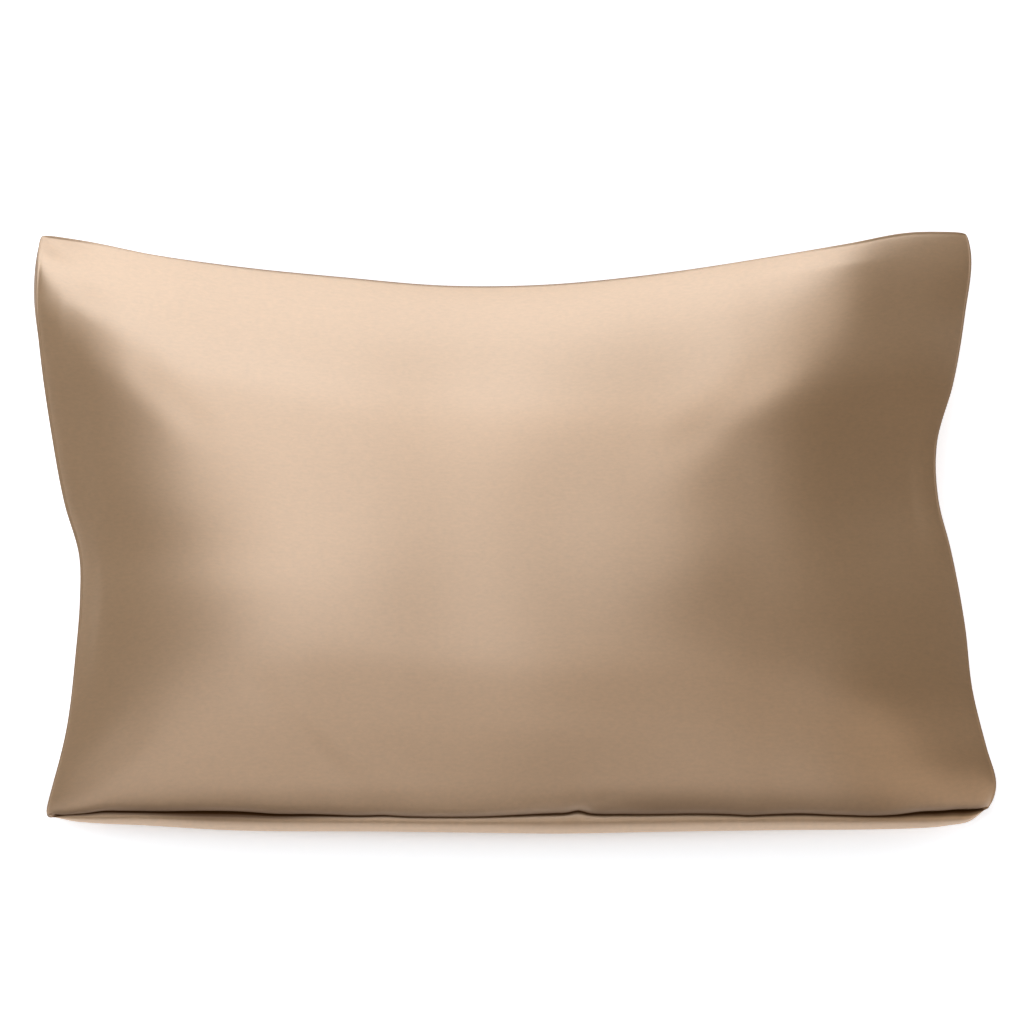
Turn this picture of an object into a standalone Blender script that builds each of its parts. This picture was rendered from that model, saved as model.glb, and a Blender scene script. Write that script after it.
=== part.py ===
"""A satin pillowcase on its pillow, lying on its back.

Metres, +Z up from the floor, +X along the long edges, +Y towards the upper long edge.
The origin is at the middle of the footprint. Front and back panel share one knife-edge
seam: the front rises from it in a crown with a hip out of each corner, and the back
bellies out a little, tucks under and lies flat on the floor.
"""
from typing import NamedTuple

import bmesh
import bpy
import numpy as np

# Cells across each panel, and how far they crowd towards the seam (0 even, 1 most)
CELLS_LONG = 64
CELLS_SHORT = 44
CROWDING = 0.62

# The crown, above the height of the seam
CROWN_HEIGHT = 0.070        # at the middle of the case
CROWN_FLATNESS = 4.5        # how sharply the slopes turn into the middle
HIP_SHARPNESS = 2.05         # how sharply two slopes meet out of a corner
LIP_REACH = 0.007           # how far in from the seam the front's first steep turn ends

INSET_FADE = 2              # power by which an edge's inset dies out towards the far edge

# Folds fade out towards their ends, and within this share of a slope's width from the seam
FOLD_END_FADE = 2.2
FOLD_SEAM_FADE = 0.12

# The back panel
BELLY_REACH = 0.016         # how far in from the seam the belly is widest
TUCK_ROUNDNESS = 2.0        # power of the curve that comes down onto the floor

CLOTH_COLOUR = (0.47, 0.31, 0.19, 1.0)
CLOTH_ROUGHNESS = 0.42
CLOTH_METALLIC = 0.15

MERGE_DISTANCE = 0.0001
NEXT_TO_SEAM = 1e-6         # stands for no distance at all where it divides


class Corner(NamedTuple):
    x: float
    y: float
    pull: float             # how far the tip is drawn in along each axis
    reach: float            # how far along the edges that goes


class Row(NamedTuple):
    share: float            # of the way along the edge, left to right or bottom to top
    inset: float            # from the straight line between the corners, inwards
    height: float           # of the seam above the floor
    belly: float            # strength of the back panel's bulge outwards


class Edge(NamedTuple):
    slope: float            # width of the front panel's slope above this edge
    lip: float              # height of the first steep turn at the seam
    tuck: float             # width of the back panel's curve down to the floor
    rows: tuple


class Fold(NamedTuple):
    start: tuple            # x and y of its two ends
    end: tuple
    width: float
    rise: float             # a ridge if positive, a trough if negative


BOTTOM_LEFT = Corner(-0.363, -0.235, 0.002, 0.005)
BOTTOM_RIGHT = Corner(0.375, -0.230, 0.005, 0.011)
TOP_LEFT = Corner(-0.377, 0.230, 0.002, 0.005)
TOP_RIGHT = Corner(0.366, 0.233, 0.002, 0.005)

BOTTOM = Edge(slope=0.100, lip=0.006, tuck=0.062, rows=(
    Row(0.00, 0.0000, 0.020, 0.006),
    Row(0.08, 0.0010, 0.034, 0.015),
    Row(0.20, 0.0000, 0.046, 0.022),
    Row(0.35, -0.0045, 0.048, 0.022),
    Row(0.45, -0.0070, 0.048, 0.022),
    Row(0.55, -0.0030, 0.048, 0.025),
    Row(0.62, -0.0060, 0.048, 0.023),
    Row(0.75, -0.0070, 0.048, 0.022),
    Row(0.88, -0.0085, 0.043, 0.017),
    Row(0.95, -0.0025, 0.032, 0.014),
    Row(1.00, 0.0000, 0.020, 0.006),
))
TOP = Edge(slope=0.170, lip=0.001, tuck=0.070, rows=(
    Row(0.00, 0.0000, 0.018, 0.004),
    Row(0.06, 0.0090, 0.033, 0.006),
    Row(0.12, 0.0200, 0.042, 0.008),
    Row(0.225, 0.0335, 0.048, 0.010),
    Row(0.33, 0.0415, 0.050, 0.010),
    Row(0.44, 0.0485, 0.050, 0.010),
    Row(0.55, 0.0480, 0.050, 0.010),
    Row(0.65, 0.0400, 0.050, 0.010),
    Row(0.76, 0.0280, 0.049, 0.008),
    Row(0.87, 0.0125, 0.047, 0.006),
    Row(0.93, 0.0035, 0.035, 0.005),
    Row(1.00, 0.0000, 0.020, 0.004),
))
LEFT = Edge(slope=0.145, lip=0.001, tuck=0.070, rows=(
    Row(0.00, 0.0000, 0.020, 0.004),
    Row(0.06, 0.0080, 0.030, 0.006),
    Row(0.13, 0.0185, 0.040, 0.011),
    Row(0.27, 0.0310, 0.048, 0.013),
    Row(0.36, 0.0340, 0.050, 0.013),
    Row(0.43, 0.0300, 0.050, 0.009),
    Row(0.52, 0.0185, 0.050, 0.006),
    Row(0.64, 0.0085, 0.051, 0.006),
    Row(0.77, 0.0000, 0.051, 0.008),
    Row(0.87, -0.0048, 0.044, 0.013),
    Row(0.95, -0.0040, 0.032, 0.012),
    Row(1.00, 0.0000, 0.018, 0.004),
))
RIGHT = Edge(slope=0.210, lip=0.001, tuck=0.070, rows=(
    Row(0.00, 0.0000, 0.020, 0.006),
    Row(0.045, -0.0020, 0.026, 0.006),
    Row(0.105, 0.0075, 0.036, 0.008),
    Row(0.195, 0.0195, 0.046, 0.013),
    Row(0.31, 0.0315, 0.050, 0.021),
    Row(0.44, 0.0395, 0.050, 0.020),
    Row(0.52, 0.0430, 0.050, 0.014),
    Row(0.62, 0.0345, 0.049, 0.008),
    Row(0.72, 0.0220, 0.045, 0.006),
    Row(0.85, 0.0090, 0.032, 0.006),
    Row(0.955, 0.0000, 0.023, 0.005),
    Row(1.00, 0.0000, 0.020, 0.004),
))

# Soft hips out of the upper corners, creases in the lower left, a pleat in the lower seam
FOLDS = (
    Fold(start=(-0.368, 0.183), end=(-0.228, 0.062), width=0.035, rise=0.0012),
    Fold(start=(0.242, 0.133), end=(0.107, 0.021), width=0.032, rise=0.0015),
    Fold(start=(-0.200, -0.136), end=(-0.127, -0.214), width=0.008, rise=-0.0013),
    Fold(start=(-0.175, -0.145), end=(-0.112, -0.210), width=0.009, rise=0.0011),
    Fold(start=(-0.104, -0.177), end=(-0.062, -0.218), width=0.010, rise=-0.0008),
    Fold(start=(0.046, -0.237), end=(0.075, -0.221), width=0.007, rise=-0.0025),
)


def smooth_curve(edge, column, share):
    """A cubic through the edge's rows, its slope at a row taken from the rows beside it."""
    at = np.array([row.share for row in edge.rows])
    value = np.array([getattr(row, column) for row in edge.rows])
    slope = np.gradient(value, at)
    low = np.clip(np.searchsorted(at, share, side="right") - 1, 0, len(at) - 2)
    step = at[low + 1] - at[low]
    u = (share - at[low]) / step
    return ((2 * u ** 3 - 3 * u ** 2 + 1) * value[low]
            + (3 * u ** 2 - 2 * u ** 3) * value[low + 1]
            + (u ** 3 - 2 * u ** 2 + u) * step * slope[low]
            + (u ** 3 - u ** 2) * step * slope[low + 1])


def from_corners(s, t, field):
    """A corner value at each corner, straight in between."""
    return ((1 - s) * (1 - t) * getattr(BOTTOM_LEFT, field) + s * (1 - t) * getattr(BOTTOM_RIGHT, field)
            + (1 - s) * t * getattr(TOP_LEFT, field) + s * t * getattr(TOP_RIGHT, field))


def distances(s, t):
    """How far a point lies in from each seam, measured on the flat panel."""
    long_side = TOP_RIGHT.x - TOP_LEFT.x
    short_side = TOP_LEFT.y - BOTTOM_LEFT.y
    away = {BOTTOM: t * short_side, TOP: (1 - t) * short_side,
            LEFT: s * long_side, RIGHT: (1 - s) * long_side}
    return {edge: np.maximum(distance, NEXT_TO_SEAM) for edge, distance in away.items()}


def along(s, t):
    return {BOTTOM: s, TOP: s, LEFT: t, RIGHT: t}


def nearness(away, column):
    """Each edge's weight, and the distance from the seam counted in widths of that column.

    The weight is (width / distance) to the power HIP_SHARPNESS, and the distance comes from the
    sum of the weights, so it is nought along every edge and its level lines turn round corners.
    """
    weight = {edge: (getattr(edge, column) / away[edge]) ** HIP_SHARPNESS for edge in away}
    total = sum(weight.values())
    share = {edge: weight[edge] / total for edge in away}
    return share, total ** (-1 / HIP_SHARPNESS)


def plan(s, t):
    """Where a point of either panel lies seen from above, before the belly."""
    x = from_corners(s, t, "x")
    y = from_corners(s, t, "y")
    x += (1 - s) ** INSET_FADE * smooth_curve(LEFT, "inset", t)
    x -= s ** INSET_FADE * smooth_curve(RIGHT, "inset", t)
    y += (1 - t) ** INSET_FADE * smooth_curve(BOTTOM, "inset", s)
    y -= t ** INSET_FADE * smooth_curve(TOP, "inset", s)
    away = distances(s, t)
    for corner, end, side in ((BOTTOM_LEFT, LEFT, BOTTOM), (BOTTOM_RIGHT, RIGHT, BOTTOM),
                              (TOP_LEFT, LEFT, TOP), (TOP_RIGHT, RIGHT, TOP)):
        pull = corner.pull * np.exp(-(away[end] + away[side]) / corner.reach)
        x -= np.sign(corner.x) * pull
        y -= np.sign(corner.y) * pull
    return x, y


def saturate(distance):
    """Rises evenly from nought at the seam and levels off at one."""
    return distance / (1 + distance ** CROWN_FLATNESS) ** (1 / CROWN_FLATNESS)


def crown(distance):
    _, middle = nearness(distances(np.array(0.5), np.array(0.5)), "slope")
    return CROWN_HEIGHT * saturate(distance) / saturate(middle)


def fold_relief(x, y):
    """Each fold is a bell across its line, faded out towards its two ends."""
    relief = np.zeros_like(x)
    for fold in FOLDS:
        start, end = np.array(fold.start), np.array(fold.end)
        length = np.hypot(*(end - start))
        run = (end - start) / length
        lengthways = ((x - start[0]) * run[0] + (y - start[1]) * run[1]) / length
        across = (y - start[1]) * run[0] - (x - start[0]) * run[1]
        fade = np.exp(-(FOLD_END_FADE * (lengthways - 0.5)) ** 4)
        relief += fold.rise * fade * np.exp(-(across / fold.width) ** 2)
    return relief


def front_panel(s, t):
    """Seam height, then the lip's steep turn, then the crown, with the folds on top."""
    x, y = plan(s, t)
    away, place = distances(s, t), along(s, t)
    share, distance = nearness(away, "slope")
    seam = sum(share[edge] * smooth_curve(edge, "height", place[edge]) for edge in away)
    lip = sum(share[edge] * edge.lip for edge in away)
    width = sum(share[edge] * edge.slope for edge in away)
    lip_rise = lip * (1 - np.exp(-distance * width / LIP_REACH))
    folds = fold_relief(x, y) * np.minimum(distance / FOLD_SEAM_FADE, 1)
    return x, y, seam + lip_rise + crown(distance) + folds


def back_panel(s, t):
    """From the seam out into the belly, then down in a curve that meets the floor level."""
    x, y = plan(s, t)
    away, place = distances(s, t), along(s, t)
    share, distance = nearness(away, "tuck")
    seam = sum(share[edge] * smooth_curve(edge, "height", place[edge]) for edge in away)
    for edge, (out_x, out_y) in {BOTTOM: (0, -1), TOP: (0, 1), LEFT: (-1, 0), RIGHT: (1, 0)}.items():
        reach = away[edge] / BELLY_REACH
        belly = share[edge] * smooth_curve(edge, "belly", place[edge]) * reach * np.exp(1 - reach)
        x += out_x * belly
        y += out_y * belly
    return x, y, seam * (1 - np.minimum(distance, 1)) ** TUCK_ROUNDNESS


def crowd(share):
    """Moves evenly spaced lines towards both ends."""
    return share - CROWDING * np.sin(2 * np.pi * share) / (2 * np.pi)


def add_panel(shell, panel):
    """A flat grid from 0 to 1 both ways, each point moved to its place on the panel."""
    grid = bmesh.ops.create_grid(shell, x_segments=CELLS_LONG, y_segments=CELLS_SHORT, size=0.5)
    points = grid["verts"]
    flat = np.array([vertex.co for vertex in points]) + 0.5
    placed = np.stack(panel(crowd(flat[:, 0]), crowd(flat[:, 1])), axis=1)
    for vertex, place in zip(points, placed):
        vertex.co = place
    return points


def centre_footprint(mesh):
    points = np.array([vertex.co for vertex in mesh.vertices])
    middle = (points.min(axis=0) + points.max(axis=0)) / 2
    for vertex in mesh.vertices:
        vertex.co.x -= middle[0]
        vertex.co.y -= middle[1]


def cloth_material():
    material = bpy.data.materials.new("satin")
    material.use_nodes = True
    shader = material.node_tree.nodes["Principled BSDF"]
    shader.inputs["Base Color"].default_value = CLOTH_COLOUR
    shader.inputs["Roughness"].default_value = CLOTH_ROUGHNESS
    shader.inputs["Metallic"].default_value = CLOTH_METALLIC
    material.diffuse_color = CLOTH_COLOUR
    return material


def make_pillowcase():
    shell = bmesh.new()
    add_panel(shell, front_panel)
    under = add_panel(shell, back_panel)
    bmesh.ops.reverse_faces(shell, faces=list({face for vertex in under for face in vertex.link_faces}))
    bmesh.ops.remove_doubles(shell, verts=shell.verts, dist=MERGE_DISTANCE)
    on_floor = [face for face in shell.faces if all(corner.co.z == 0 for corner in face.verts)]
    bmesh.ops.dissolve_faces(shell, faces=on_floor, use_verts=True)
    bmesh.ops.triangulate(shell, faces=shell.faces)
    mesh = bpy.data.meshes.new("pillowcase")
    shell.to_mesh(mesh)
    shell.free()
    centre_footprint(mesh)
    mesh.shade_smooth()
    mesh.materials.append(cloth_material())
    pillowcase = bpy.data.objects.new("pillowcase", mesh)
    bpy.context.collection.objects.link(pillowcase)


def main():
    for thing in list(bpy.data.objects):
        bpy.data.objects.remove(thing, do_unlink=True)
    make_pillowcase()


if __name__ == "__main__":
    main()
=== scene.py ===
"""A satin pillowcase on its pillow, lying on its back under soft studio light.

Metres, +Z up from the floor, +X along the long edges, +Y towards the upper long edge. The case
is one closed mesh: a front and a back panel, each worked out from two shares, s from left to
right and t from bottom to top, that meet along one sewn seam.
"""
import math
from typing import NamedTuple

import bpy
import numpy as np
from bpy.props import FloatProperty, FloatVectorProperty, PointerProperty
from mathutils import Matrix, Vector


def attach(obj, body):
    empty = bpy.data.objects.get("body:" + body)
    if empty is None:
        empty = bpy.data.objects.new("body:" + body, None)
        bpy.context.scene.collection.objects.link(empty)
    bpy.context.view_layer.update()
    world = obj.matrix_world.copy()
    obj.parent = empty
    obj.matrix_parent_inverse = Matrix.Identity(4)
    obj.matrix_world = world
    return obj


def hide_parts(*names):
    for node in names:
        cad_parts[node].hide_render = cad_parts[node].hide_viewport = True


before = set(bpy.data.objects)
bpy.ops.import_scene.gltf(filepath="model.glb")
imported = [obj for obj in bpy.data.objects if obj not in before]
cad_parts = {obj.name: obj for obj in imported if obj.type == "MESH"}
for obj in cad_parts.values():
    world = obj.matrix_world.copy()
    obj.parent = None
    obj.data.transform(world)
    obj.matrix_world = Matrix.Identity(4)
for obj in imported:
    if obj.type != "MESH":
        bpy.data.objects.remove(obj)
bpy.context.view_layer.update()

bl_info = {
    "name": "Satin pillowcase",
    "version": (1, 0, 0),
    "blender": (4, 5, 0),
    "location": "3D View > Sidebar > Pillowcase",
    "description": "Makes a filled satin pillowcase with a sewn edge, and a pale studio around it",
    "category": "Add Mesh",
}

NODE = "pillowcase"
NEXT_TO_SEAM = 1e-6         # stands for no distance at all where it divides

# ---------------------------------------------------------------- the shape of the case

CUT_LENGTH = 0.760          # of each flat panel
CUT_WIDTH = 0.510
CLOTH_SCALE = 0.95          # of the cloth's own coordinates, both panels within one square
BACK_PANEL_OFFSET = 0.50    # how far the back panel lies from the front one in that square

CROWN_FLATNESS = 3.94       # how sharply the slopes turn into the middle
HIP_SHARPNESS = 1.72        # how sharply two slopes meet out of a corner
LIP_REACH = 0.007           # how far in from the seam the front's first steep turn ends
INSET_FADE = 2              # power by which an edge's inset dies out towards the far edge
BELLY_REACH = 0.016         # how far in from the seam the belly is widest
TUCK_ROUNDNESS = 2.0        # power of the curve that comes down onto the floor

# Folds fade out towards their ends, and within this share of a slope's width from the seam
FOLD_END_FADE = 2.2
FOLD_SEAM_FADE = 0.12


class Corner(NamedTuple):
    x: float
    y: float
    pull: float             # how far the tip is drawn in along each axis
    reach: float            # how far along the edges that goes


class Row(NamedTuple):
    share: float            # of the way along the edge, left to right or bottom to top
    inset: float            # from the straight line between the corners, inwards
    height: float           # of the seam above the floor
    belly: float            # strength of the back panel's bulge outwards


class Edge(NamedTuple):
    slope: float            # width of the front panel's slope above this edge
    lip: float              # height of the first steep turn at the seam
    tuck: float             # width of the back panel's curve down to the floor
    rows: tuple


class Wave(NamedTuple):
    edge: Edge
    share: float            # where along the edge its top is
    reach: float            # share of the edge from there to where it has sunk to a third
    out: float              # how far it sways out, or in if negative


class Swell(NamedTuple):
    x: float
    y: float
    rise: float             # where the filling stands higher, or lower if negative


class Shade(NamedTuple):
    share: float            # of the way along the lower edge
    above: float            # strength of the soft shade on the front panel
    below: float            # how far the dark reaches on the back panel


class Fold(NamedTuple):
    start: tuple            # x and y of its two ends
    end: tuple
    width: float
    rise: float             # a ridge if positive, a trough if negative


BOTTOM_LEFT = Corner(-0.3622, -0.2335, 0.0030, 0.006)
BOTTOM_RIGHT = Corner(0.3768, -0.2327, 0.0040, 0.009)
TOP_LEFT = Corner(-0.3838, 0.2264, 0.002, 0.005)
TOP_RIGHT = Corner(0.3639, 0.2302, 0.002, 0.005)

BOTTOM = Edge(slope=0.1104, lip=0.0013, tuck=0.046, rows=(
    Row(0.00, -0.0032, 0.020, 0.0225),
    Row(0.03, -0.0015, 0.026, 0.0218),
    Row(0.08, 0.0019, 0.034, 0.0248),
    Row(0.20, -0.0001, 0.046, 0.0271),
    Row(0.35, -0.0044, 0.048, 0.0234),
    Row(0.45, -0.0051, 0.048, 0.0237),
    Row(0.55, -0.0023, 0.048, 0.0275),
    Row(0.62, -0.0033, 0.048, 0.0255),
    Row(0.75, -0.0036, 0.048, 0.0238),
    Row(0.88, -0.0040, 0.043, 0.0230),
    Row(0.95, 0.0005, 0.032, 0.0272),
    Row(0.98, 0.0019, 0.025, 0.0275),
    Row(1.00, 0.0009, 0.020, 0.0120),
))
TOP = Edge(slope=0.165, lip=0.001, tuck=0.070, rows=(
    Row(0.00, -0.0076, 0.018, 0.004),
    Row(0.06, 0.0040, 0.0348, 0.006),
    Row(0.12, 0.0154, 0.042, 0.008),
    Row(0.225, 0.0289, 0.0462, 0.010),
    Row(0.33, 0.0377, 0.0474, 0.010),
    Row(0.44, 0.0451, 0.0474, 0.010),
    Row(0.55, 0.0448, 0.0487, 0.010),
    Row(0.65, 0.0381, 0.050, 0.010),
    Row(0.76, 0.0257, 0.0503, 0.008),
    Row(0.87, 0.0116, 0.0496, 0.006),
    Row(0.93, -0.0003, 0.035, 0.005),
    Row(1.00, -0.0050, 0.020, 0.004),
))
LEFT = Edge(slope=0.1615, lip=0.001, tuck=0.070, rows=(
    Row(0.00, -0.0054, 0.020, 0.0040),
    Row(0.06, 0.0047, 0.0285, 0.0060),
    Row(0.13, 0.0152, 0.0376, 0.0060),
    Row(0.27, 0.0265, 0.0469, 0.0060),
    Row(0.36, 0.0312, 0.050, 0.0060),
    Row(0.43, 0.0315, 0.050, 0.0060),
    Row(0.52, 0.0208, 0.0493, 0.0060),
    Row(0.64, 0.0117, 0.0500, 0.0060),
    Row(0.77, 0.0048, 0.0536, 0.0060),
    Row(0.87, 0.0017, 0.0525, 0.0110),
    Row(0.95, 0.0027, 0.041, 0.0110),
    Row(1.00, 0.0015, 0.018, 0.0040),
))
RIGHT = Edge(slope=0.210, lip=0.001, tuck=0.070, rows=(
    Row(0.00, 0.0015, 0.020, 0.0020),
    Row(0.045, -0.0005, 0.0279, 0.0040),
    Row(0.105, 0.0070, 0.036, 0.0060),
    Row(0.195, 0.0171, 0.0477, 0.0060),
    Row(0.31, 0.0208, 0.0486, 0.0060),
    Row(0.44, 0.0288, 0.0478, 0.0060),
    Row(0.52, 0.0361, 0.0475, 0.0060),
    Row(0.62, 0.0350, 0.0469, 0.0060),
    Row(0.72, 0.0200, 0.0466, 0.0060),
    Row(0.85, 0.0054, 0.0336, 0.0060),
    Row(0.955, -0.0032, 0.0252, 0.0050),
    Row(1.00, -0.0024, 0.020, 0.0040),
))
OUTWARD = {BOTTOM: (0, -1), TOP: (0, 1), LEFT: (-1, 0), RIGHT: (1, 0)}

# Small sways of the seam, and how far into each panel they go
FRONT_WAVE_DEPTH = 0.008
BACK_WAVE_DEPTH = 0.003
WAVES = (
    Wave(BOTTOM, 0.025, 0.020, -0.0009),
    Wave(BOTTOM, 0.063, 0.014, -0.0013),
    Wave(BOTTOM, 0.120, 0.050, 0.0033),
    Wave(BOTTOM, 0.245, 0.030, 0.0020),
    Wave(BOTTOM, 0.297, 0.010, 0.0001),
    Wave(BOTTOM, 0.320, 0.014, 0.0002),
    Wave(BOTTOM, 0.357, 0.016, -0.0013),
    Wave(BOTTOM, 0.559, 0.008, -0.0034),
    Wave(BOTTOM, 0.585, 0.014, 0.0009),
    Wave(BOTTOM, 0.680, 0.035, -0.0012),
    Wave(BOTTOM, 0.737, 0.013, 0.0013),
    Wave(BOTTOM, 0.795, 0.028, -0.0023),
    Wave(BOTTOM, 0.836, 0.022, -0.0010),
    Wave(BOTTOM, 0.919, 0.018, -0.0016),
    Wave(BOTTOM, 0.955, 0.012, -0.0010),
    Wave(BOTTOM, 0.988, 0.010, 0.0005),
)

# Along the lower edge the front panel rolls out over the seam, which lies in a narrow crevice.
# Depths, rises and ways out are shares of the overhang, and reaches are distances from the seam.
OVERHANG_ENDS = 0.012       # share of the edge over which it grows from nothing at either corner
RECESS_REACH = 0.005        # the seam itself is set back as far as this
SINK_REACH = 0.0018         # and both panels dip beside it
SINK_DEPTH = 0.80
LIP_ROLL_REACH = 0.0045     # where the front panel stands out furthest
LIP_ROLL_OUT = 1.35
LIP_ROLL_DOWN = 0.68
SHELF_REACH = 0.0040        # the back panel's roll, which comes up against the front's
SHELF_SHARPNESS = 4
SHELF_RISE = 0.70
SHELF_IN = 0.35

# Soft hips out of the corners, creases in the lower left, a pleat in the lower seam, and long soft
# hollows beside the left seam and above the lower one. All lie on the front panel.
FOLDS = (
    Fold(start=(-0.368, 0.183), end=(-0.228, 0.062), width=0.035, rise=0.0012),
    Fold(start=(0.242, 0.133), end=(0.107, 0.021), width=0.032, rise=0.0015),
    Fold(start=(-0.200, -0.136), end=(-0.127, -0.214), width=0.010, rise=-0.0007),
    Fold(start=(-0.175, -0.145), end=(-0.112, -0.210), width=0.010, rise=0.0006),
    Fold(start=(-0.104, -0.177), end=(-0.062, -0.218), width=0.010, rise=-0.0004),
    Fold(start=(0.046, -0.237), end=(0.075, -0.221), width=0.004, rise=-0.0012),
    Fold(start=(-0.368, 0.171), end=(-0.234, 0.055), width=0.030, rise=0.0010),
    Fold(start=(0.350, -0.215), end=(0.230, -0.120), width=0.030, rise=0.0019),
    Fold(start=(0.130, 0.040), end=(0.150, -0.080), width=0.035, rise=0.0013),
    Fold(start=(-0.250, -0.190), end=(0.250, -0.190), width=0.020, rise=-0.0011),
    Fold(start=(-0.250, -0.150), end=(0.250, -0.150), width=0.025, rise=-0.0011),
    Fold(start=(-0.300, 0.115), end=(-0.234, 0.055), width=0.014, rise=-0.0011),
    Fold(start=(0.224, 0.128), end=(0.120, 0.035), width=0.016, rise=-0.0008),
    Fold(start=(-0.360, 0.195), end=(-0.315, 0.150), width=0.010, rise=-0.0007),
    Fold(start=(-0.350, -0.222), end=(-0.280, -0.165), width=0.014, rise=-0.0006),
    Fold(start=(-0.355, 0.150), end=(-0.330, -0.020), width=0.012, rise=-0.0009),
    Fold(start=(-0.330, -0.030), end=(-0.345, -0.180), width=0.012, rise=-0.0012),
    Fold(start=(0.000, -0.218), end=(0.300, -0.218), width=0.008, rise=0.0006),
    Fold(start=(-0.368, 0.171), end=(-0.300, 0.110), width=0.012, rise=-0.0004),
    Fold(start=(-0.300, -0.218), end=(0.000, -0.218), width=0.008, rise=0.0005),
)

# The unevenness of the filling under the front panel, each swell a round bell of this reach
SWELL_REACH = 0.055         # where the bell has sunk to a third
SWELLS = (
    Swell(-0.310, -0.165, -0.0007),
    Swell(-0.225, -0.165, -0.0023),
    Swell(-0.140, -0.165, -0.0033),
    Swell(-0.055, -0.165, -0.0016),
    Swell(0.030, -0.165, 0.0025),
    Swell(0.285, -0.165, 0.0013),
    Swell(-0.310, -0.085, 0.0016),
    Swell(-0.225, -0.085, 0.0009),
    Swell(-0.055, -0.085, -0.0025),
    Swell(0.030, -0.085, -0.0007),
    Swell(0.115, -0.085, 0.0014),
    Swell(0.200, -0.085, 0.0008),
    Swell(0.285, -0.085, 0.0011),
    Swell(-0.310, -0.005, 0.0007),
    Swell(-0.225, -0.005, -0.0019),
    Swell(-0.140, -0.005, -0.0014),
    Swell(-0.055, -0.005, -0.0020),
    Swell(0.030, -0.005, -0.0021),
    Swell(0.200, -0.005, 0.0005),
    Swell(0.285, -0.005, -0.0035),
    Swell(-0.310, 0.075, 0.0010),
    Swell(-0.055, 0.075, -0.0013),
    Swell(0.030, 0.075, 0.0009),
    Swell(0.200, 0.075, 0.0026),
    Swell(0.285, 0.075, -0.0015),
    Swell(-0.310, 0.150, 0.0016),
    Swell(-0.055, 0.150, 0.0009),
    Swell(0.030, 0.150, 0.0008),
    Swell(0.200, 0.150, 0.0036),
    Swell(0.285, 0.150, 0.0056),
)

# Painted shade in the crevice and along the other seams: a share of dark brown mixed into the
# satin where folds lie in shade, kept on the mesh's points. Each bell dies out with its own
# sharpness.
SHADES = (
    Shade(0.00, 0.20, 0.0034),
    Shade(0.10, 0.22, 0.0037),
    Shade(0.17, 0.30, 0.0041),
    Shade(0.24, 0.30, 0.0037),
    Shade(0.33, 0.25, 0.0028),
    Shade(0.45, 0.10, 0.0022),
    Shade(0.55, 0.20, 0.0021),
    Shade(0.63, 0.60, 0.0021),
    Shade(0.75, 0.50, 0.0026),
    Shade(0.87, 0.42, 0.0030),
    Shade(0.95, 0.26, 0.0034),
    Shade(1.00, 0.20, 0.0030),
)
SHADE_ENDS = 0.012          # share of the edge over which the shade grows at either corner
DARK_ABOVE = 0.0073         # how far the dark reaches on the front panel
DARK_SHARPNESS = 4
SOFT_ABOVE = 0.0150         # and how far the soft shade does
BELOW_SHARPNESS = 8         # of the dark on the back panel
RIM_SHADE = 0.42            # along the other seams, on the front panel
RIM_REACH = 0.0012
BACK_RIM_SHADE = 0.5        # and on the back panel
BACK_RIM_REACH = 0.008

MIDDLE = (-0.00414, -0.00877)   # of the footprint, which comes over the origin
CLOTH_NAME = "cloth"        # of the cloth's own coordinates on the mesh
PAINTED_SHADE_NAME = "kept_dark"     # and of its share of painted shade

# The mesh: cells grow from the seam inwards
SEAM_CELL = 0.0005
CELL_GROWTH = 1.12
INNER_CELL = 0.0034

# The seam: a rounded ridge of turned-in cloth, and the sewn valley beside it
VALLEY_WIDTH = 0.0009
PANELS_PART = 0.0035        # where the ridge has died out and the two panels stand apart


def smooth_curve(rows, column, share):
    """A cubic through the rows, its slope at a row taken from the rows beside it."""
    at = np.array([row.share for row in rows])
    value = np.array([getattr(row, column) for row in rows])
    slope = np.gradient(value, at)
    low = np.clip(np.searchsorted(at, share, side="right") - 1, 0, len(at) - 2)
    step = at[low + 1] - at[low]
    u = (share - at[low]) / step
    return ((2 * u ** 3 - 3 * u ** 2 + 1) * value[low]
            + (3 * u ** 2 - 2 * u ** 3) * value[low + 1]
            + (u ** 3 - 2 * u ** 2 + u) * step * slope[low]
            + (u ** 3 - u ** 2) * step * slope[low + 1])


def from_corners(s, t, field):
    """A corner value at each corner, straight in between."""
    return ((1 - s) * (1 - t) * getattr(BOTTOM_LEFT, field)
            + s * (1 - t) * getattr(BOTTOM_RIGHT, field)
            + (1 - s) * t * getattr(TOP_LEFT, field)
            + s * t * getattr(TOP_RIGHT, field))


def panel_sides():
    """Length of the long and of the short side, straight between corners."""
    return TOP_RIGHT.x - TOP_LEFT.x, TOP_LEFT.y - BOTTOM_LEFT.y


def distances(s, t):
    """How far a point lies in from each seam, measured on the flat panel."""
    long_side, short_side = panel_sides()
    away = {BOTTOM: t * short_side, TOP: (1 - t) * short_side,
            LEFT: s * long_side, RIGHT: (1 - s) * long_side}
    return {edge: np.maximum(distance, NEXT_TO_SEAM) for edge, distance in away.items()}


def along(s, t):
    """How far along each edge a point lies, as a share."""
    return {BOTTOM: s, TOP: s, LEFT: t, RIGHT: t}


def nearness(away, column):
    """Each edge's weight, and the distance from the seam counted in widths of that column.

    The weight is (width / distance) to the power HIP_SHARPNESS, and the distance comes from the
    sum of the weights, so it is nought along every edge and its level lines turn round corners.
    """
    weight = {edge: (getattr(edge, column) / away[edge]) ** HIP_SHARPNESS for edge in away}
    total = sum(weight.values())
    share = {edge: weight[edge] / total for edge in away}
    return share, total ** (-1 / HIP_SHARPNESS)


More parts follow.
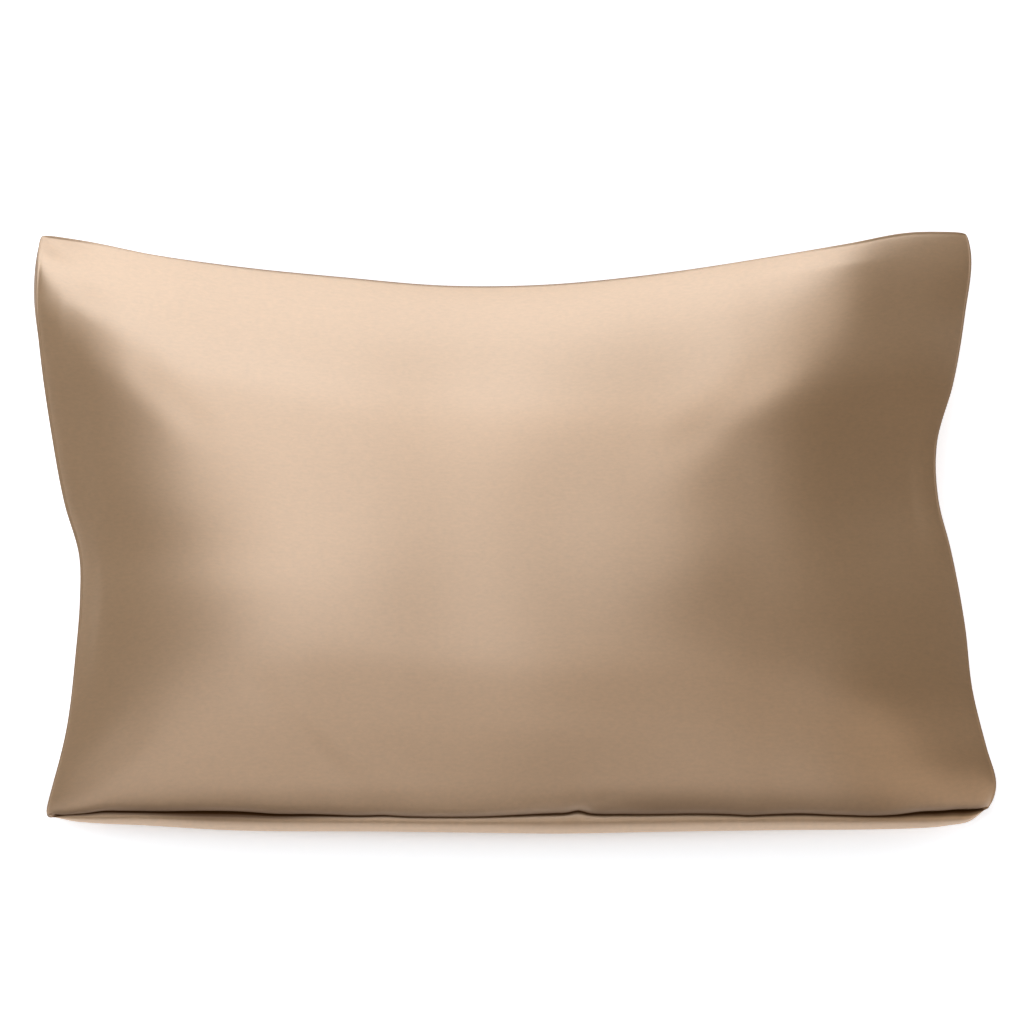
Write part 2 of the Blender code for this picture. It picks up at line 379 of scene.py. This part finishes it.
def plan(s, t, wave_depth):
    """Where a point of either panel lies seen from above, before the belly."""
    x = from_corners(s, t, "x")
    y = from_corners(s, t, "y")
    x += (1 - s) ** INSET_FADE * smooth_curve(LEFT.rows, "inset", t)
    x -= s ** INSET_FADE * smooth_curve(RIGHT.rows, "inset", t)
    y += (1 - t) ** INSET_FADE * smooth_curve(BOTTOM.rows, "inset", s)
    y -= t ** INSET_FADE * smooth_curve(TOP.rows, "inset", s)
    away, place = distances(s, t), along(s, t)
    for wave in WAVES:
        lengthways = (place[wave.edge] - wave.share) / wave.reach
        bell = np.exp(-lengthways ** 2 - away[wave.edge] / wave_depth)
        out_x, out_y = OUTWARD[wave.edge]
        x += out_x * wave.out * bell
        y += out_y * wave.out * bell
    for corner, end, side in ((BOTTOM_LEFT, LEFT, BOTTOM), (BOTTOM_RIGHT, RIGHT, BOTTOM),
                              (TOP_LEFT, LEFT, TOP), (TOP_RIGHT, RIGHT, TOP)):
        pull = corner.pull * np.exp(-(away[end] + away[side]) / corner.reach)
        x -= np.sign(corner.x) * pull
        y -= np.sign(corner.y) * pull
    return x, y


def saturate(distance):
    """Rises evenly from nought at the seam and levels off at one."""
    return distance / (1 + distance ** CROWN_FLATNESS) ** (1 / CROWN_FLATNESS)


def crown(distance, height):
    """Height of the slope at a distance, which is the whole height in the middle."""
    _, middle = nearness(distances(np.array(0.5), np.array(0.5)), "slope")
    return height * saturate(distance) / saturate(middle)


def relief_of_filling(x, y):
    """Each swell is a round bell; each fold is a bell across its line that fades at both ends."""
    relief = np.zeros_like(x)
    for swell in SWELLS:
        distance_squared = (x - swell.x) ** 2 + (y - swell.y) ** 2
        relief += swell.rise * np.exp(-distance_squared / SWELL_REACH ** 2)
    for fold in FOLDS:
        start, end = np.array(fold.start), np.array(fold.end)
        length = np.hypot(*(end - start))
        run = (end - start) / length
        lengthways = ((x - start[0]) * run[0] + (y - start[1]) * run[1]) / length
        across = (y - start[1]) * run[0] - (x - start[0]) * run[1]
        fade = np.exp(-(FOLD_END_FADE * (lengthways - 0.5)) ** 4)
        relief += fold.rise * fade * np.exp(-(across / fold.width) ** 2)
    return relief


def hump(reach):
    """Rises straight from nought, is one where the reach is one, and dies away slowly."""
    return reach * np.exp(1 - reach)


def between_corners(s, ends):
    """One along the lower edge, and nothing at either corner."""
    return 1 - np.exp(-(s * (1 - s) / ends) ** 2)


def overhang(s, shape):
    """How far the front panel rolls out over the lower seam."""
    return shape.overhang * between_corners(s, OVERHANG_ENDS)


def recess(away):
    """One at the lower seam, which is set back under the front panel, and soon nothing."""
    return np.exp(-(away[BOTTOM] / RECESS_REACH) ** 2)


def sink(away):
    """How far the two panels dip together beside the lower seam."""
    return SINK_DEPTH * np.exp(-(away[BOTTOM] / SINK_REACH) ** 2)


def seam_profile(s, away, shape):
    """Half the thickness of the seam at a distance from it, taken up on both panels.

    A quarter round up to the ridge's own half thickness, which dies out where the panels part,
    less a narrow bell for the valley that the stitches pull in. There is none in the crevice.
    """
    near = np.minimum(away[BOTTOM] + overhang(s, shape), to_other_seams(away))
    half_width = shape.seam_width / 2
    start = np.minimum(np.minimum.reduce(list(away.values())) / half_width, 1)
    round_part = np.sqrt(1 - (1 - start) ** 2)
    die_out = np.clip((PANELS_PART - near) / (PANELS_PART - half_width), 0, 1)
    die_out = die_out ** 2 * (3 - 2 * die_out)
    from_valley = (near - shape.seam_width - VALLEY_WIDTH) / VALLEY_WIDTH
    valley = shape.valley_depth * np.exp(-from_valley ** 2)
    return half_width * round_part * die_out - valley * start


def front_panel(s, t, shape):
    """Seam height, then the lip's steep turn, then the crown, with the folds on top."""
    x, y = plan(s, t, FRONT_WAVE_DEPTH)
    away, place = distances(s, t), along(s, t)
    share, distance = nearness(away, "slope")
    seam = sum(share[edge] * smooth_curve(edge.rows, "height", place[edge]) for edge in away)
    lip = sum(share[edge] * edge.lip for edge in away)
    width = sum(share[edge] * edge.slope for edge in away)
    lip_rise = lip * (1 - np.exp(-distance * width / LIP_REACH))
    relief = relief_of_filling(x, y) * np.minimum(distance / FOLD_SEAM_FADE, 1)
    z = seam + lip_rise + crown(distance, shape.crown_height) + relief * shape.relief
    roll = hump(away[BOTTOM] / LIP_ROLL_REACH)
    y += overhang(s, shape) * (recess(away) - LIP_ROLL_OUT * roll)
    z -= overhang(s, shape) * (sink(away) + LIP_ROLL_DOWN * roll ** 2)
    return np.stack((x, y, z + seam_profile(s, away, shape)), axis=-1)


def back_panel(s, t, shape):
    """From the seam out into the belly, then down in a curve that meets the floor level."""
    x, y = plan(s, t, BACK_WAVE_DEPTH)
    away, place = distances(s, t), along(s, t)
    share, distance = nearness(away, "tuck")
    seam = sum(share[edge] * smooth_curve(edge.rows, "height", place[edge]) for edge in away)
    for edge, (out_x, out_y) in OUTWARD.items():
        strength = share[edge] * smooth_curve(edge.rows, "belly", place[edge])
        belly = strength * hump(away[edge] / BELLY_REACH)
        x += out_x * belly
        y += out_y * belly
    drop = seam * (1 - np.minimum(distance, 1)) ** TUCK_ROUNDNESS
    shelf = hump(away[BOTTOM] / SHELF_REACH) ** SHELF_SHARPNESS
    y += overhang(s, shape) * (recess(away) + SHELF_IN * shelf)
    drop += overhang(s, shape) * (SHELF_RISE * shelf - sink(away))
    return np.stack((x, y, drop - seam_profile(s, away, shape)), axis=-1)


def to_other_seams(away):
    """Distance to the nearest seam that isn't the lower one."""
    return np.minimum.reduce([away[LEFT], away[RIGHT], away[TOP]])


# Painted shade on the front panel, kept on its points
def front_painted_shade(s, t):
    """A bell out of the crevice mixed with a wider one, and a narrow one at the other seams."""
    away = distances(s, t)
    soft = smooth_curve(SHADES, "above", s)
    crevice = ((1 - soft) * np.exp(-(away[BOTTOM] / DARK_ABOVE) ** DARK_SHARPNESS)
               + soft * np.exp(-(away[BOTTOM] / SOFT_ABOVE) ** 2))
    rim = RIM_SHADE * np.exp(-(to_other_seams(away) / RIM_REACH) ** 2)
    return np.maximum(between_corners(s, SHADE_ENDS) * crevice, rim)


# Painted shade on the back panel, kept on its points
def back_painted_shade(s, t):
    """Quite dark as far as the shade reaches, then soon none; half of that at the other seams."""
    away = distances(s, t)
    crevice = np.exp(-(away[BOTTOM] / smooth_curve(SHADES, "below", s)) ** BELOW_SHARPNESS)
    rim = BACK_RIM_SHADE * np.exp(-(to_other_seams(away) / BACK_RIM_REACH) ** 2)
    return np.maximum(between_corners(s, SHADE_ENDS) * crevice, rim)


def grid_lines(length):
    """Shares of the lines across a panel: cells grow from the seam to an even inner size."""
    cells = []
    while sum(cells) < length / 2:
        cells.append(min(SEAM_CELL * CELL_GROWTH ** len(cells), INNER_CELL))
    half = np.concatenate(([0.0], np.cumsum(cells))) / sum(cells) / 2
    return np.concatenate((half, 1 - half[-2::-1]))


def case_mesh(shape):
    """Two grids that share the points of their rim, with the back one's faces turned over."""
    long_side, short_side = panel_sides()
    s, t = np.meshgrid(grid_lines(long_side), grid_lines(short_side))
    rows, columns = s.shape
    count = rows * columns
    front_index = np.arange(count).reshape(rows, columns)
    rim = np.ones((rows, columns), bool)
    rim[1:-1, 1:-1] = False
    back_index = np.where(rim, front_index, 0)
    back_index[~rim] = count + np.arange((~rim).sum())

    points = np.concatenate((front_panel(s, t, shape).reshape(-1, 3),
                             back_panel(s, t, shape)[~rim]))
    points -= (*MIDDLE, 0)

    def quads(index):
        corners = (index[:-1, :-1], index[:-1, 1:], index[1:, 1:], index[1:, :-1])
        return np.stack(corners, axis=-1).reshape(-1, 4)

    on_grid = quads(front_index)
    faces = np.concatenate((on_grid, quads(back_index)[:, ::-1]))
    mesh = bpy.data.meshes.new("pillowcase_cloth")
    mesh.from_pydata(points, [], faces)
    flat = np.stack((s.ravel() * CUT_LENGTH, t.ravel() * CUT_WIDTH), axis=-1) * CLOTH_SCALE
    corners = np.concatenate((flat[on_grid].reshape(-1, 2),
                              flat[on_grid[:, ::-1]].reshape(-1, 2) + (0, BACK_PANEL_OFFSET)))
    layer = mesh.uv_layers.new(name=CLOTH_NAME)
    layer.uv.foreach_set("vector", corners.ravel())
    # Each point's share of painted shade, which the satin mixes in
    dark = np.concatenate((front_painted_shade(s, t).ravel(), back_painted_shade(s, t)[~rim]))
    kept_dark = mesh.attributes.new(PAINTED_SHADE_NAME, "FLOAT", "POINT")
    kept_dark.data.foreach_set("value", dark.astype(np.float32))
    mesh.shade_smooth()
    return mesh


# ---------------------------------------------------------------- the satin

class Value:
    """One output in a node tree, so that sums on the surface read as sums."""

    def __init__(self, nodes, output):
        self.nodes = nodes
        self.output = output

    def _math(self, operation, first, second):
        return self.nodes.add("ShaderNodeMath", {"operation": operation}, {0: first, 1: second})

    def __add__(self, other):
        return self._math("ADD", self, other)

    def __mul__(self, other):
        return self._math("MULTIPLY", self, other)

    def __sub__(self, other):
        return self._math("SUBTRACT", self, other)

    def __rsub__(self, other):
        return self._math("SUBTRACT", other, self)

    def __pow__(self, other):
        return self._math("POWER", self, other)

    def __rpow__(self, other):
        return self._math("POWER", other, self)

    __radd__ = __add__
    __rmul__ = __mul__


class Nodes:
    """A node tree that hands each new node back as its output."""

    def __init__(self, tree):
        self.tree = tree

    def add(self, kind, settings=None, inputs=None, output=0):
        """A node of this kind: its settings first, then its sockets' values or links."""
        node = self.tree.nodes.new(kind)
        for name, setting in (settings or {}).items():
            setattr(node, name, setting)
        for socket, value in (inputs or {}).items():
            if isinstance(value, Value):
                self.tree.links.new(value.output, node.inputs[socket])
            else:
                node.inputs[socket].default_value = value
        return Value(self, node.outputs[output])


# The satin's unevenness: length and width of each kind of mark, and how much it changes the colour
PATCH_SIZE = (0.010, 0.007)
PATCH_CONTRAST = 0.12
BROAD_SIZE = (0.100, 0.080)
BROAD_CONTRAST = 0.05
SLUB_ROUGHNESS = 0.06       # how much the slubs change the breadth of the sheen
MARK_DETAIL = 2.0
MARK_HARSHNESS = 0.6
MARK_MIDDLE = 0.5           # mean of every mark's noise


def satin_material(satin):
    """Satin weave: a smooth face whose long floats run across the case, with faint slubs."""
    material = bpy.data.materials.new("champagne_satin")
    material.use_nodes = True
    tree = material.node_tree
    nodes = Nodes(tree)
    shader = tree.nodes["Principled BSDF"]

    cloth = nodes.add("ShaderNodeUVMap", {"uv_map": CLOTH_NAME})

    def mottle(length, width):
        stretched = nodes.add("ShaderNodeMapping", None,
                              {"Vector": cloth, "Scale": (1 / length, 1 / width, 1)})
        return nodes.add("ShaderNodeTexNoise", None,
                         {"Vector": stretched, "Scale": 1.0,
                          "Detail": MARK_DETAIL, "Roughness": MARK_HARSHNESS})

    slubs = mottle(satin.slub_length, satin.slub_width)
    patches = mottle(*PATCH_SIZE)
    broad = mottle(*BROAD_SIZE)
    # The share of painted shade for the crevice and the seams
    dark = nodes.add("ShaderNodeAttribute", {"attribute_name": PAINTED_SHADE_NAME}, None, "Fac")

    weave = (1 + (slubs - MARK_MIDDLE) * satin.slub_contrast
             + (patches - MARK_MIDDLE) * PATCH_CONTRAST + (broad - MARK_MIDDLE) * BROAD_CONTRAST)
    colour = nodes.add("ShaderNodeVectorMath", {"operation": "SCALE"},
                       {"Vector": tuple(satin.colour), "Scale": weave})
    tree.links.new(colour.output, shader.inputs["Base Color"])
    roughness = satin.roughness + (slubs - MARK_MIDDLE) * SLUB_ROUGHNESS
    tree.links.new(roughness.output, shader.inputs["Roughness"])
    bump = nodes.add("ShaderNodeBump", None,
                     {"Strength": 1.0, "Distance": satin.thread_relief, "Height": slubs})
    tree.links.new(bump.output, shader.inputs["Normal"])
    shader.inputs["Metallic"].default_value = satin.metallic
    shader.inputs["IOR"].default_value = satin.ior

    # Painted shade: a dark brown diffuse mixed over the satin by the share kept on the points
    shade = nodes.add("ShaderNodeBsdfDiffuse", None, {"Color": (*satin.painted_shade_colour, 1)})
    mixed = nodes.add("ShaderNodeMixShader", None, {0: dark * satin.painted_shade_strength, 2: shade})
    tree.links.new(shader.outputs["BSDF"], mixed.output.node.inputs[1])
    tree.links.new(mixed.output, tree.nodes["Material Output"].inputs["Surface"])
    return material


# ---------------------------------------------------------------- the studio

class Light(NamedTuple):
    name: str
    azimuth: float          # degrees, 0 towards +X and 90 towards +Y
    elevation: float
    width: float
    height: float
    power: float
    warmth: float           # share by which its red is raised and its blue is lowered


# Large soft boxes, all facing the case from the same distance
LIGHTS = (
    Light("overhead_left", 170, 76, 3.2, 1.5, 25.3, -0.016),
    Light("high_left", 150, 54, 1.0, 1.0, 6.1, 0.006),
    Light("behind_top", 110, 40, 1.9, 1.3, 17.8, -0.068),
    Light("behind_low", 100, 12, 3.2, 1.5, 31.9, -0.045),
    Light("high_right", 70, 54, 1.9, 1.3, 9.8, 0.052),
    Light("front", 250, 40, 3.2, 1.5, 13.5, 0.048),
    Light("front_high", 290, 68, 1.0, 1.0, 2.6, 0.105),
    Light("front_left_low", 210, 12, 1.0, 1.0, 2.3, 0.0),
    Light("front_right", 320, 22, 1.5, 2.6, 7.5, 0.220),
)
LIGHT_DISTANCE = 3.0

CAMERA_TILT = math.radians(10.0)
CAMERA_DISTANCE = 2.55
CAMERA_AIM = (0.0028, 0.0096, 0.048)
CAMERA_LENS = 114.2         # millimetres, on a 36 mm wide sensor
SENSOR_WIDTH = 36.0

FLOOR_SIZE = 8.0
FLOOR_COLOUR = (0.95, 0.95, 0.95, 1)
FLOOR_ROUGHNESS = 0.9
FLOOR_TINT = (0.84, 0.905, 0.975)   # of its glow, which evens out the light on it
FOOT_LINE = -0.2356         # where the floor shows in front of the case, in the middle
FOOT_BEND = 0.090           # and how it bends back towards the corners
FOOT_HALF = 0.375           # where the shadow ends to the left and right
FOOT_SHARPNESS = 12
SHADOW_WIDE = 0.014         # half the width of the painted shadow under the case, behind that line
SHADOW_REACH = 0.0062       # how softly it ends
SHADOW_DEPTH = 0.84         # share of the glow that it takes away
BESIDE = 0.400              # painted light: the floor glows more to the left and right of the case
BESIDE_REACH = 0.060
BESIDE_GLOW = 0.35


def direction(azimuth, elevation):
    """Unit vector towards a point at this azimuth and elevation, in degrees."""
    a, e = math.radians(azimuth), math.radians(elevation)
    return np.array((math.cos(e) * math.cos(a), math.cos(e) * math.sin(a), math.sin(e)))


def turned_to(obj, place, aim):
    """Puts an object at a place with its -Z axis towards the aim."""
    obj.location = place
    look = aim - place
    obj.rotation_mode = "QUATERNION"
    obj.rotation_quaternion = Vector(look).to_track_quat("-Z", "Y")


def link(obj):
    """Puts a new object into the scene."""
    bpy.context.collection.objects.link(obj)
    return obj


def add_floor(studio):
    """A white floor whose glow is dimmed in a painted soft shadow under the case's lower edge.

    The shadow is one within a band from the foot line back, and falls off outside it by the power
    of e of the distance over its reach. The foot line bends back with the square of x.
    """
    half = FLOOR_SIZE / 2
    mesh = bpy.data.meshes.new("floor")
    mesh.from_pydata([(-half, -half, 0), (half, -half, 0), (half, half, 0), (-half, half, 0)],
                     [], [(0, 1, 2, 3)])
    material = bpy.data.materials.new("white_floor")
    material.use_nodes = True
    nodes = Nodes(material.node_tree)
    shader = material.node_tree.nodes["Principled BSDF"]
    shader.inputs["Base Color"].default_value = FLOOR_COLOUR
    shader.inputs["Roughness"].default_value = FLOOR_ROUGHNESS
    shader.inputs["Specular IOR Level"].default_value = 0.0

    place = nodes.add("ShaderNodeTexCoord", output="Object")
    x, y = (nodes.add("ShaderNodeSeparateXYZ", None, {0: place}, axis) for axis in "XY")
    from_shade = ((FOOT_LINE + SHADOW_WIDE + FOOT_BEND * x ** 2 - y) ** 2) ** 0.5 - SHADOW_WIDE
    from_foot = (from_shade + (from_shade ** 2) ** 0.5) * 0.5
    shadow = (math.e ** (from_foot * (-1 / SHADOW_REACH))
              * math.e ** (-1 * (x * (1 / FOOT_HALF)) ** FOOT_SHARPNESS))
    beside = math.e ** (-1 * (((x ** 2) ** 0.5 - BESIDE) * (1 / BESIDE_REACH)) ** 2)
    strength = 1 + BESIDE_GLOW * beside - SHADOW_DEPTH * shadow
    glow = nodes.add("ShaderNodeVectorMath", {"operation": "SCALE"},
                     {"Vector": FLOOR_TINT, "Scale": strength})
    material.node_tree.links.new(glow.output, shader.inputs["Emission Color"])
    shader.inputs["Emission Strength"].default_value = studio.floor_glow
    mesh.materials.append(material)
    floor = link(bpy.data.objects.new("floor", mesh))


def add_lights(studio):
    aim = np.array(CAMERA_AIM)
    for light in LIGHTS:
        data = bpy.data.lights.new(light.name, "AREA")
        data.shape = "RECTANGLE"
        data.size = light.width
        data.size_y = light.height
        data.energy = light.power * studio.brightness
        data.color = (1 + light.warmth, 1, 1 - light.warmth)
        lamp = link(bpy.data.objects.new(light.name, data))
        lamp.visible_camera = False
        turned_to(lamp, aim + LIGHT_DISTANCE * direction(light.azimuth, light.elevation), aim)
    bpy.context.scene.view_settings.view_transform = "Standard"
    world = bpy.data.worlds.new("studio")
    bpy.context.scene.world = world
    world.use_nodes = True
    background = world.node_tree.nodes["Background"]
    background.inputs["Color"].default_value = (1, 1, 1, 1)
    background.inputs["Strength"].default_value = studio.ambient


def add_camera():
    data = bpy.data.cameras.new("camera")
    data.lens = CAMERA_LENS
    data.sensor_width = SENSOR_WIDTH
    camera = link(bpy.data.objects.new("camera", data))
    aim = np.array(CAMERA_AIM)
    back = np.array((0.0, -math.sin(CAMERA_TILT), math.cos(CAMERA_TILT)))
    turned_to(camera, aim + CAMERA_DISTANCE * back, aim)
    bpy.context.scene.camera = camera


# ---------------------------------------------------------------- settings and operators

class PillowcaseShape(bpy.types.PropertyGroup):
    crown_height: FloatProperty(
        name="Crown height", description="Height of the middle above the seam",
        default=0.0698, min=0.0, unit="LENGTH")
    relief: FloatProperty(
        name="Relief", description="Strength of the swells, hips, creases and pleat",
        default=1.0, min=0.0)
    overhang: FloatProperty(
        name="Overhang", description="How far the front panel rolls out over the lower seam",
        default=0.005, min=0.0, unit="LENGTH")
    seam_width: FloatProperty(
        name="Seam ridge", description="Width of the ridge of turned-in cloth at the seam",
        default=0.0012, min=0.0002, unit="LENGTH")
    valley_depth: FloatProperty(
        name="Seam valley", description="Depth of the sewn valley beside the ridge",
        default=0.0003, min=0.0, unit="LENGTH")


class PillowcaseSatin(bpy.types.PropertyGroup):
    colour: FloatVectorProperty(
        name="Colour", description="Colour of the satin", subtype="COLOR", size=3,
        default=(0.606, 0.367, 0.184), min=0.0, max=1.0)
    roughness: FloatProperty(
        name="Roughness", description="Breadth of the sheen", default=0.422, min=0.0, max=1.0)
    metallic: FloatProperty(
        name="Tinted sheen", description="Share of the sheen that takes the cloth's colour",
        default=0.338, min=0.0, max=1.0)
    ior: FloatProperty(
        name="Refractive index", description="Strength of the plain sheen",
        default=3.27, min=1.0, max=4.0)
    # Painted shade: the dark brown that stands in for the shade deep in the crevice and the seams
    painted_shade_colour: FloatVectorProperty(
        name="Seam colour", description="Colour of the cloth deep inside its folds",
        subtype="COLOR", size=3, default=(0.075, 0.030, 0.008), min=0.0, max=1.0)
    painted_shade_strength: FloatProperty(
        name="Dark in seams", description="Share of that colour where the cloth is deepest",
        default=1.0, min=0.0, max=1.0)
    slub_length: FloatProperty(
        name="Slub length", description="Length of the faint streaks along the threads",
        default=0.0045, min=0.0005, unit="LENGTH")
    slub_width: FloatProperty(
        name="Slub width", description="Width of the faint streaks", default=0.0022,
        min=0.0001, unit="LENGTH")
    slub_contrast: FloatProperty(
        name="Slub contrast", description="How much the streaks change the colour",
        default=0.24, min=0.0, max=1.0)
    thread_relief: FloatProperty(
        name="Thread relief", description="Height of the threads in the bump",
        default=0.00005, min=0.0, unit="LENGTH")


class PillowcaseStudio(bpy.types.PropertyGroup):
    brightness: FloatProperty(
        name="Brightness", description="Scales every light", default=1.0, min=0.0)
    ambient: FloatProperty(
        name="Ambient", description="Light from all round", default=0.0, min=0.0)
    floor_glow: FloatProperty(
        name="Floor glow", description="Light that the floor gives off", default=0.62, min=0.0)


class PILLOWCASE_OT_cloth(bpy.types.Operator):
    """Make the filled case: both panels, their seam, creases and satin"""
    bl_idname = "pillowcase.cloth"
    bl_label = "Pillowcase"

    def execute(self, context):
        mesh = case_mesh(context.scene.pillowcase_shape)
        mesh.materials.append(satin_material(context.scene.pillowcase_satin))
        case = link(bpy.data.objects.new("pillowcase_cloth", mesh))
        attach(case, "root")
        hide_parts(NODE)
        return {"FINISHED"}


class PILLOWCASE_OT_studio(bpy.types.Operator):
    """Make the pale floor, the soft lights and the camera"""
    bl_idname = "pillowcase.studio"
    bl_label = "Studio"

    def execute(self, context):
        studio = context.scene.pillowcase_studio
        add_floor(studio)
        add_lights(studio)
        add_camera()
        return {"FINISHED"}


class PILLOWCASE_PT_panel(bpy.types.Panel):
    """Sizes, finish and light of the pillowcase"""
    bl_idname = "PILLOWCASE_PT_panel"
    bl_label = "Pillowcase"
    bl_space_type = "VIEW_3D"
    bl_region_type = "UI"
    bl_category = "Pillowcase"

    def draw(self, context):
        for operator, group in ((PILLOWCASE_OT_cloth, context.scene.pillowcase_shape),
                                (None, context.scene.pillowcase_satin),
                                (PILLOWCASE_OT_studio, context.scene.pillowcase_studio)):
            box = self.layout.box()
            if operator:
                box.operator(operator.bl_idname)
            for name in group.__annotations__:
                box.prop(group, name)


CLASSES = (PillowcaseShape, PillowcaseSatin, PillowcaseStudio,
           PILLOWCASE_OT_cloth, PILLOWCASE_OT_studio, PILLOWCASE_PT_panel)


def register():
    for each in CLASSES:
        bpy.utils.register_class(each)
    bpy.types.Scene.pillowcase_shape = PointerProperty(type=PillowcaseShape)
    bpy.types.Scene.pillowcase_satin = PointerProperty(type=PillowcaseSatin)
    bpy.types.Scene.pillowcase_studio = PointerProperty(type=PillowcaseStudio)


def unregister():
    del bpy.types.Scene.pillowcase_studio
    del bpy.types.Scene.pillowcase_satin
    del bpy.types.Scene.pillowcase_shape
    for each in reversed(CLASSES):
        bpy.utils.unregister_class(each)


def main():
    register()
    bpy.ops.pillowcase.cloth()
    bpy.ops.pillowcase.studio()


if __name__ == "__main__":
    main()
